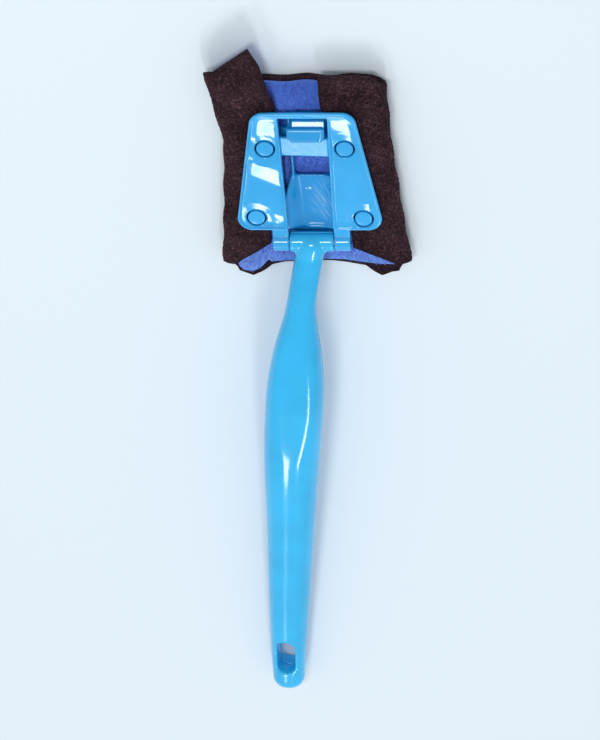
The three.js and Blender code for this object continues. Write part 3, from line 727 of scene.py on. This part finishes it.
def base_plate(x, y, z):
    """The plate with its shelf, ramp and rail, its openings and the latch's socket."""
    plate = smooth_max(outline(x, y, plate_outline, plate_corner), z - plate_top, 1)
    shelf = block(x, y, z, (-shelf_half, shelf_near_y, plate_bottom),
                  (shelf_half, plate_near_y + 2, shelf_top), 0.5)
    plate = smooth_min(plate, shelf, 0.6)
    plate = smooth_max(plate, plate_bottom - z, 0.8)
    plate = smooth_max(plate, -outline(x, y, relief_outline, 0.3), 0.5)
    for slot_low, slot_high in latch_slots:
        slot = block(x, y, z, (slot_low, latch_y - 5, 0), (slot_high, plate_far_y + 3, plate_top + 3), 0.8)
        plate = smooth_max(plate, -slot, 0.5)
    ramp = smooth_max(outline(x, y, ramp_outline, 0.8), z - ramp_surface(x, y), 0.8)
    ramp = smooth_max(ramp, plate_bottom - z, 0.5)
    rail = block(x, y, z, (opening_rail - rail_width, ramp_far_y - 3, plate_bottom),
                 (opening_rail, opening_far_y + 2, rail_top), 0.4)
    plate = smooth_min(smooth_min(plate, ramp, 0.8), rail, 0.6)
    lean = 1.3 * np.maximum(plate_top - 0.8 - z, 0)
    plate = smooth_max(plate, -outline(x, y + lean * (y < 0), opening_outline, 1.8), 0.6)
    rib_top = latch_z + bead_radius
    rib_reach = stem_half + bead_gap + 1.35
    rib = block(x - latch_x, y, z, (-rib_reach, latch_y - rib_half_depth, plate_bottom),
                (rib_reach, latch_y + rib_half_depth, rib_top), 0.4)
    plate = smooth_min(plate, rib, 0.8)
    socket_reach = stem_half + bead_gap
    socket = rod(x - latch_x, y, z, latch_y, latch_z, bead_radius + bead_gap,
                 -socket_reach, socket_reach, 0.2)
    mouth = block(x - latch_x, y, z, (-socket_reach, latch_y - 1.5, latch_z),
                  (socket_reach, latch_y + 1.5, rib_top + 3), 0.2)
    return smooth_max(plate, -np.minimum(socket, mouth), 0.4)


shelf_room = (0, 6, 0)
plate_piece = skin("plate_moulding", base_plate, plate_low - shelf_room, plate_high, plate_cell,
                   scuffed_shaded_plastic)
finish_piece(plate_piece, "head", "head_plastic", "base_plate")

# %% [markdown]
# ## Latch
# The latch stands on a round bead in the plate's socket. Its tab hooks over the cross-bar, and a
# thumb tips it away from the bar to free the frame. Behind the stem a sloped gusset stiffens it.
# Bevelled boxes could make it, but a distance field also rounds the corners where they meet.

# %% Latch
latch_low, latch_high = reach("latch")
tab_height = 2.6
tab_bottom = latch_high[2] - tab_height
stem_thickness = 1.8
gusset_half, gusset_reach, gusset_slope = 7.4, 3.4, 0.56
gusset_room = (0, 2, 0)
latch_cell = 0.3


def latch_shape(x, y, z):
    """The latch: a bead, a stem, a gusset and the tab over them."""
    across = x - latch_x
    bead = rod(across, y, z, latch_y, latch_z, bead_radius, -stem_half, stem_half, 0.3)
    stem = block(across, y, z, (-stem_half, latch_y - stem_thickness / 2, latch_z),
                 (stem_half, latch_y + stem_thickness / 2, tab_bottom + tab_height / 2), 0.3)
    tab_half = (latch_high[0] - latch_low[0]) / 2
    near, far = latch_low[1], latch_high[1]
    tab_outline = [
        (2 - tab_half, near), (tab_half - 1.5, near), (tab_half, near + 3),
        (tab_half, far), (-tab_half, far), (-tab_half, near + 3),
    ]
    above = np.abs(z - tab_bottom - tab_height / 2) - tab_height / 2
    tab = smooth_max(outline(across, y, tab_outline, 0.5), above, 2.2)
    gusset = block(across - 1.0, y, z, (-gusset_half, latch_y, latch_z + 3),
                   (gusset_half, latch_y + gusset_reach, tab_bottom), 0.3)
    face = z - tab_bottom + 1.2 + gusset_slope * (y - latch_y - stem_thickness / 2)
    gusset = smooth_max(gusset, face / math.hypot(1, gusset_slope), 0.3)
    return smooth_min(smooth_min(smooth_min(bead, stem, 0.6), gusset, 0.3), tab, 0.5)


latch_piece = skin("latch_moulding", latch_shape, latch_low, latch_high + gusset_room, latch_cell,
                   shaded_latch_plastic)
finish_piece(latch_piece, "latch", "head_plastic", "latch")

# %% [markdown]
# ## Pegs and hinge pin
# Four round pegs spike the sheet and show as shallow discs in the frame. They and the steel hinge
# pin are turned shapes, so a profile spun round an axis is the plain way to make them.

# %% Turned pieces
def turned(name, profile, material, sides=72):
    """Spin a profile of (radius, height) round the Z axis."""
    angles = np.arange(sides) * 2 * math.pi / sides
    rings = [[(r * math.cos(a), r * math.sin(a), h) for a in angles] for r, h in profile[1:-1]]
    points = [(0, 0, profile[0][1])] + [point for row in rings for point in row] + [(0, 0, profile[-1][1])]
    last = len(points) - 1
    faces = []
    for k in range(sides):
        following = (k + 1) % sides
        faces.append((0, 1 + following, 1 + k))
        for row in range(len(rings) - 1):
            start = 1 + row * sides
            faces.append((start + k, start + following, start + sides + following, start + sides + k))
        start = last - sides
        faces.append((start + k, start + following, last))
    piece = make_object(name, points, faces, material)
    piece.data.set_sharp_from_angle(angle=math.radians(50))
    return piece


def corner_arc(radius, height, bend, steps=6):
    """A rounded outer corner of a profile, from its side up to its top."""
    angles = np.linspace(0, math.pi / 2, steps)
    return [(radius - bend + bend * math.cos(a), height - bend + bend * math.sin(a)) for a in angles]


root_radius = 2.4
seat_height = plate_top + 0.3
peg_crown, peg_bend = 0.14, 0.4
rim = np.linspace(0, 2 * math.pi, 24)
rim_radius = peg_radius + peg_ring_gap + 0.4
for peg_node, (peg_x, peg_y) in pegs.items():
    rim_x, rim_y = peg_x + rim_radius * np.cos(rim), peg_y + rim_radius * np.sin(rim)
    peg_top = frame_height(rim_x, rim_y, *frame_plan(rim_x, rim_y)).mean()
    peg_profile = [(0, plate_bottom), (root_radius, plate_bottom)]
    peg_profile += [(root_radius, seat_height), (peg_radius, seat_height)]
    peg_profile += corner_arc(peg_radius, peg_top, peg_bend)
    crown_radius = peg_radius - 0.5
    peg_profile += [(crown_radius * s, peg_top + peg_crown * (1 - s * s)) for s in np.linspace(1, 0, 10)]
    peg = turned(peg_node.replace("pad_peg", "peg_turned"), peg_profile, head_plastic)
    peg.data.transform(Matrix.Translation((peg_x * MM, peg_y * MM, 0)))
    finish_piece(peg, "head", "head_plastic", peg_node)
    print(peg_node, "top:", round(float(peg_top), 2))

pin_low, pin_high = reach("hinge_pin")
pin_radius = (pin_high[2] - pin_low[2]) / 2
pin_half = (pin_high[0] - pin_low[0]) / 2
pin_end = corner_arc(pin_radius, pin_half, 0.35)
pin_profile = [(0, -pin_half)] + [(r, -h) for r, h in reversed(pin_end)] + pin_end + [(0, pin_half)]
pin = turned("pin_turned", pin_profile, steel_wire)
pin.data.transform(Matrix.Translation((0, hinge_y * MM, hinge_z * MM)) @ Matrix.Rotation(math.pi / 2, 4, "Y"))
finish_piece(pin, "head", "pin_steel", "hinge_pin")
print("turned pieces:", len(pegs) + 1)

# %% [markdown]
# ## Folded cloth
# A sheet of scouring web with fleece inside is laid under the plate, its left and right sides
# are folded up over it, and the frame clamps them. Cloth simulation could fold it, but the
# folds are given as lists, askew, so the two layers are laid out along them: each column
# of points runs from far to near, each row from one flap's edge round to the other's.

# %% Cloth outline
sheet_thickness, liner_thickness, layer_gap = 3.2, 1.4, 0.3
sheet_far_y = frame_far_y + 9.6
fold_near_y = hinge_y - 13.8
droop_start, droop_run = 33.0, 8.0
left_side = {
    "side": -1, "fold_far_y": frame_far_y + 19.8, "droop": 0, "corner_cut": 0,
    "loose": [(0, 10.4), (0.36, 1.8), (0.76, 2.3), (1, 3.1)],
    "edge": [(-43.2, -18.8), (frame_near_y, -18.8), (20, -12.6), (30, -12.4), (39, -15), (53, -18),
             (62.3, -22.5)],
}
right_side = {
    "side": 1, "fold_far_y": frame_far_y + 13.6, "droop": 3.3, "corner_cut": 3.5,
    "loose": [(0, 1.4), (0.33, 0.1), (0.55, 0.6), (0.8, 1.1), (1, 2.2)],
    "edge": [(-45.5, 18.1), (frame_near_y, 18.1), (20, 12.6), (27, 10.6), (31, 8.3), (38, 7.4),
             (45.6, 7.2)],
}
sheet_near_edge = [
    (-37, -66.4), (-29.6, -69.7), (-24.3, -66.7), (-20.4, -63.2), (-14.7, -61.7), (-2, -60.8), (6, -60.8),
    (12.8, -61.6), (22.3, -63.6), (25.8, -67.1), (29.4, -69.6), (34.1, -67.4), (40, -66.4),
]
liner_near_edge = [
    (-37, -62), (-33.5, -64.4), (-29, -64.2), (-25.2, -62.2), (-21.8, -58.6), (-20.6, -60.2), (-10.3, -59.4),
    (4, -58.6), (13, -58.9), (20.8, -60.3), (29, -61.5), (36, -61.6),
]


def read(pairs, place):
    """Straight-line reading of a list of (place, value)."""
    places, values = zip(*pairs)
    return np.interp(place, places, values)


def plate_half(y):
    return mix(plate_far_half, plate_near_half, (plate_far_y - y) / (plate_far_y - plate_near_y))


print("cloth top:", round(cloth_top, 2), "far edge at y:", round(sheet_far_y, 2))

# %% Cloth faces
cloth_rows = 121
flap_steps, fold_steps, main_steps = 18, 12, 72
far_wave, surface_wave = 0.5, 0.2


def cloth_face(depth, setback, flap_setback, near_edge):
    """Points of one face of the cloth, as rows of columns, at a depth under the outer surface."""
    t = np.linspace(0, 1, cloth_rows)

    def under_y(x_near):
        far = sheet_far_y - setback + far_wave * np.sin(x_near * 0.28) * (1 + 0.4 * np.sin(x_near * 0.11))
        return mix(far, read(near_edge, x_near), t)

    def top_z(y, droop):
        return cloth_top - depth - droop * ease((y - droop_start) / droop_run)

    def flap_and_fold(side, fold_far_y, droop, corner_cut, loose, edge):
        """Where one fold turns, and the columns from its flap's edge to the underside."""
        turn_y = mix(fold_far_y - flap_setback, fold_near_y + setback, t)
        turn_x = plate_shift + side * plate_half(turn_y) + side * read(loose, t)
        edge_y = mix(edge[-1][0] - flap_setback, edge[0][0] + setback, t)
        edge_x = read(edge, edge_y) + side * setback
        columns = []
        for s in np.arange(flap_steps) / flap_steps:
            y = mix(edge_y, turn_y, s)
            columns.append((mix(edge_x, turn_x, s), y, top_z(y, droop)))
        for s in np.linspace(0, 1, fold_steps + 1):
            y = mix(turn_y, under_y(turn_x[-1]), s ** (1 + 1.2 * t))
            y = y - corner_cut * math.sin(math.pi * s) * (1 - t) ** 6
            bulge = (cloth_top - 2 * depth) / 2 * math.sin(math.pi * s)
            z = mix(top_z(y, droop), depth, (1 - math.cos(math.pi * s)) / 2)
            columns.append((turn_x + side * bulge, y, z))
        return turn_x, columns

    left_turn, left_columns = flap_and_fold(**left_side)
    right_turn, right_columns = flap_and_fold(**right_side)
    middle_columns = []
    for s in np.arange(1, main_steps) / main_steps:
        x = mix(left_turn, right_turn, s)
        middle_columns.append((x, under_y(x[-1]), depth + 0 * t))
    return np.array(left_columns + middle_columns + right_columns[::-1]).transpose(2, 0, 1)


def waver(face):
    """Slow waves of hand-folded cloth, strongest where nothing holds it."""
    x, y, z = np.moveaxis(face, -1, 0)
    free = ease((np.abs(x) - 24) / 12) * ease(z / 3)
    wave = np.sin(x * 0.31 + 1.2 * np.sin(y * 0.13)) * np.sin(y * 0.24 + 0.6)
    lifted = face.copy()
    lifted[..., 2] = z - surface_wave * (0.4 + free) * (1 + wave) * (z > cloth_top / 2)
    lifted[..., 0] = x + 0.3 * np.sin(y * 0.33) * free * np.sign(x)
    return lifted


# %% [markdown]
# The fleece is softer than the web. Past the plate's far edge it puffs up against the
# latch's rib, at the near left it curls up as a loose tongue, and it bulges into the slit
# beside the plate's rail. It could be sculpted, but soft steps come out the same on every run.

# %% Puffed fleece
puff_height, puff_y, puff_run = 4.4, 28.6, 5.5
tongue_height, tongue_x, tongue_half = 2.0, -28.0, 8.0
slit_height, slit_x, slit_half = 3.4, -9.9, 2.9


def puff(face):
    """Raise the fleece past the plate, at its loose tongue and in the slit beside the rail."""
    x, y, z = np.moveaxis(face, -1, 0)
    under = z < cloth_top / 2 - 0.5
    across = ease((x + 14.5) / 3) * ease((11.3 - x) / 3)
    rise = np.where(y > puff_y, 1 - ease((y - puff_y) / (2 * puff_run)), ease((y - plate_far_y - 0.2) / 2))
    tongue = np.clip(1 - ((x - tongue_x) / tongue_half) ** 2, 0, 1) * ease((-54 - y) / 9)
    slit = (1 - ease(np.abs(x - slit_x) / slit_half)) * ease((y + 20) / 8) * ease((9 - y) / 3)
    lifted = face.copy()
    lifted[..., 2] = z + under * (puff_height * across * rise + tongue_height * tongue + slit_height * slit)
    return lifted


# %% Cloth layers
def cloth_layer(name, outer, inner, material):
    """A closed layer: its outer face, its inner face and the strip along the cut edge."""
    rows, columns = outer.shape[:2]
    number = np.arange(rows * columns).reshape(rows, columns)
    quads = np.stack([number[:-1, :-1], number[:-1, 1:], number[1:, 1:], number[1:, :-1]], -1).reshape(-1, 4)
    faces = [quads, quads[:, ::-1] + rows * columns]
    edge = np.concatenate([number[0, :-1], number[:-1, -1], number[-1, :0:-1], number[:0:-1, 0]])
    following = np.roll(edge, -1)
    faces.append(np.stack([following, edge, edge + rows * columns, following + rows * columns], 1))
    points = np.concatenate([outer.reshape(-1, 3), inner.reshape(-1, 3)])
    piece = make_object(name, points, np.concatenate(faces).tolist(), material)
    piece.data.set_sharp_from_angle(angle=math.radians(60))
    print(name, "points:", len(points))
    return piece


sheet_outer = waver(cloth_face(0, 0, 0, sheet_near_edge))
sheet_inner = waver(cloth_face(sheet_thickness, 0, 0, sheet_near_edge))
sheet = cloth_layer("scouring_cloth", sheet_outer, sheet_inner, brown_web)
finish_piece(sheet, "head", "scouring_fabric", "scouring_sheet")
liner_depth = sheet_thickness + layer_gap
liner_outer = puff(waver(cloth_face(liner_depth, 1, 5, liner_near_edge)))
liner_inner = puff(waver(cloth_face(liner_depth + liner_thickness, 1, 5, liner_near_edge)))
liner = cloth_layer("fleece_cloth", liner_outer, liner_inner, blue_fleece)
finish_piece(liner, "head", "fleece_fabric", "fleece_liner")

# %% [markdown]
# ## Fibres
# Close up, both layers are fibres: the web is a tangle of thick crossing strands, the fleece a
# short leaning pile. A hair system would do it, but it leaves no mesh to hand on, so each
# fibre is a thin three-sided tube, strewn over the cloth by a seeded random draw. The web's cut
# edges get shorter strands of their own.

# %% Fibre helpers
chance = np.random.default_rng(41)


def strew(face, outward, count, wanted):
    """Random points on a face, with outward normals, where the wanted test holds."""
    corner, along, across = face[:-1, :-1], face[1:, :-1] - face[:-1, :-1], face[:-1, 1:] - face[:-1, :-1]
    normal = outward * np.cross(across, along)
    area = np.linalg.norm(normal, axis=-1)
    middle = corner + (along + across) / 2
    weight = (area * wanted(*np.moveaxis(middle, -1, 0))).ravel()
    pick = chance.choice(len(weight), count, p=weight / weight.sum())
    spot = chance.random((count, 2, 1))
    points = corner.reshape(-1, 3)[pick] + spot[:, 0] * along.reshape(-1, 3)[pick] \
        + spot[:, 1] * across.reshape(-1, 3)[pick]
    return points, normal.reshape(-1, 3)[pick] / area.ravel()[pick, None]


def unit(vectors):
    return vectors / np.linalg.norm(vectors, axis=-1, keepdims=True)


def tubes(name, lines, thick, material):
    """One mesh of three-sided tubes along lines of points (fibre, point, axis)."""
    count, steps = lines.shape[:2]
    along = unit(np.gradient(lines, axis=1))
    first = unit(np.cross(along, chance.normal(size=(count, 1, 3))))
    second = np.cross(along, first)
    taper = np.sin(np.linspace(0.35, math.pi - 0.35, steps))[None, :, None]
    rings = []
    for turn in (0, 2 * math.pi / 3, 4 * math.pi / 3):
        offset = math.cos(turn) * first + math.sin(turn) * second
        rings.append(lines + thick[:, None, None] * taper * offset)
    points = np.stack(rings, 2).reshape(-1, 3)
    start = (np.arange(count) * steps * 3)[:, None, None]
    ring = (np.arange(steps - 1) * 3)[None, :, None]
    corners = np.array([(0, 1, 4, 3), (1, 2, 5, 4), (2, 0, 3, 5)])
    quads = ((start + ring)[..., None] + corners).reshape(-1, 4)
    last = start[:, 0] + 3 * (steps - 1)
    ends = np.concatenate([start[:, 0] + np.array([2, 1, 0]), last + np.array([0, 1, 2])])
    piece = make_object(name, points, quads.tolist() + ends.tolist(), material)
    print(name, "fibres:", count, "points:", len(points))
    return piece


# %% Strands of the web
strand_steps = 4
strand_sink = 0.05
web_faces = [
    (sheet_outer[1:-1, 1:-1], 1, 16000),
    (np.stack([sheet_outer[0], sheet_inner[0]]), -1, 450),
    (np.stack([sheet_inner[-1], sheet_outer[-1]]), -1, 450),
    (np.stack([sheet_outer[:, 0], sheet_inner[:, 0]]), 1, 320),
    (np.stack([sheet_outer[:, -1], sheet_inner[:, -1]]), -1, 320),
]
strewn = [strew(*web_face, lambda x, y, z: 1.0 + 0 * x) for web_face in web_faces]
spots, normals = (np.concatenate(parts) for parts in zip(*strewn))
strand_count = len(spots)
on_cut_edge = np.arange(strand_count)[:, None, None] >= web_faces[0][2]
heading = unit(np.cross(normals, chance.normal(size=(strand_count, 3))))
sideways = np.cross(normals, heading)
strand_length = chance.uniform(0.9, 2.2, (strand_count, 1, 1)) * np.where(on_cut_edge, 0.5, 1)
bend = chance.normal(0, 0.16, (strand_count, 1, 1)) * strand_length
share = np.linspace(-0.5, 0.5, strand_steps)[None, :, None]
arch = 1 - 4 * share ** 2
lift = chance.uniform(-0.02, 0.2, (strand_count, 1, 1))
strand_lines = spots[:, None] + heading[:, None] * share * strand_length + sideways[:, None] * bend * arch \
    + normals[:, None] * (lift * arch - strand_sink)
strands = tubes("web_strands", strand_lines, chance.uniform(0.1, 0.19, strand_count), brown_strand)
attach(strands, "head")

# %% Pile of the fleece
pile_count, pile_steps, pile_curl = 7000, 4, 0.35


def shows(x, y, z):
    """Where the fleece can be seen: past the plate's ends and through its openings."""
    under = z < cloth_top * 0.75
    far = (y > plate_far_y + 0.5) & (x > -16) & (x < 12)
    window = (x > -13) & (x < 11) & (y > relief_near_y - 2) & (y < opening_far_y + 1)
    return (under & (far | window | (y < plate_near_y - 1))).astype(float)


spots, normals = strew(liner_inner, -1, pile_count, shows)
lean = unit(normals + 0.9 * chance.normal(size=(pile_count, 3)))
lean = np.where((lean * normals).sum(1, keepdims=True) < 0.15, normals, lean)
curl = unit(chance.normal(size=(pile_count, 3)))
pile_length = chance.uniform(0.6, 1.5, (pile_count, 1, 1))
share = np.linspace(0, 1, pile_steps)[None, :, None]
pile_lines = spots[:, None] + lean[:, None] * share * pile_length + curl[:, None] * share ** 2 * pile_curl
pile = tubes("fleece_pile", pile_lines, chance.uniform(0.07, 0.12, pile_count), blue_pile)
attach(pile, "head")

# %% [markdown]
# ## Light and floor
# Three window-like softboxes stand beyond the handle's end: one to its left, and a low and a high
# one to its right. Flat faces turn their reflections away, and the slopes of the dishes, the thumb
# oval and the handle catch them. A smaller lamp on the camera's side draws the thin lines along the
# hinge and the bright face of the latch. A picture of a room could light the scene too, but single
# lamps can be placed until each highlight falls where it should. The floor is plain and pale.

# %% Light and floor
scene.view_settings.view_transform = "Standard"
world = bpy.data.worlds.new("studio")
scene.world = world
world.use_nodes = True
fill(world.node_tree.nodes["Background"], Color=(0.93, 0.97, 1, 1), Strength=0.65)


def softbox(name, azimuth, elevation, distance, width, height, power):
    """An area lamp that looks at the head, from a compass direction and an angle above the floor."""
    data = bpy.data.lights.new(name, "AREA")
    data.shape = "RECTANGLE"
    data.size, data.size_y = width, height
    data.energy = power
    lamp = bpy.data.objects.new(name, data)
    a, e = math.radians(azimuth), math.radians(elevation)
    towards = Vector((math.sin(a) * math.cos(e), math.cos(a) * math.cos(e), math.sin(e)))
    lamp.location = Vector((0, -0.03, 0.015)) + towards * distance
    lamp.rotation_mode = "QUATERNION"
    lamp.rotation_quaternion = towards.to_track_quat("Z", "Y")
    scene.collection.objects.link(lamp)


softbox("left_window", 195, 37.5, 3.0, 0.34, 0.66, 12)
softbox("right_window", 171, 40, 3.0, 0.26, 0.62, 9)
softbox("high_window", 168, 51, 3.0, 0.22, 0.95, 10)
softbox("front_lamp", -14.7, 65, 1.2, 0.3, 0.2, 4.2)

floor_paint, floor_shader, *_ = start_material("floor_paint")
fill(floor_shader, Base_Color=(0.72, 0.8, 0.86, 1), Roughness=0.9)
floor_half, floor_drop = 6000, 0.6
floor_corners = np.array([(-1, -1, 0), (1, -1, 0), (1, 1, 0), (-1, 1, 0)]) * floor_half
floor = make_object("floor", floor_corners, [(0, 1, 2, 3)], floor_paint)
floor.location.z = -floor_drop * MM
print("lamps:", sorted(light.name for light in bpy.data.lights))
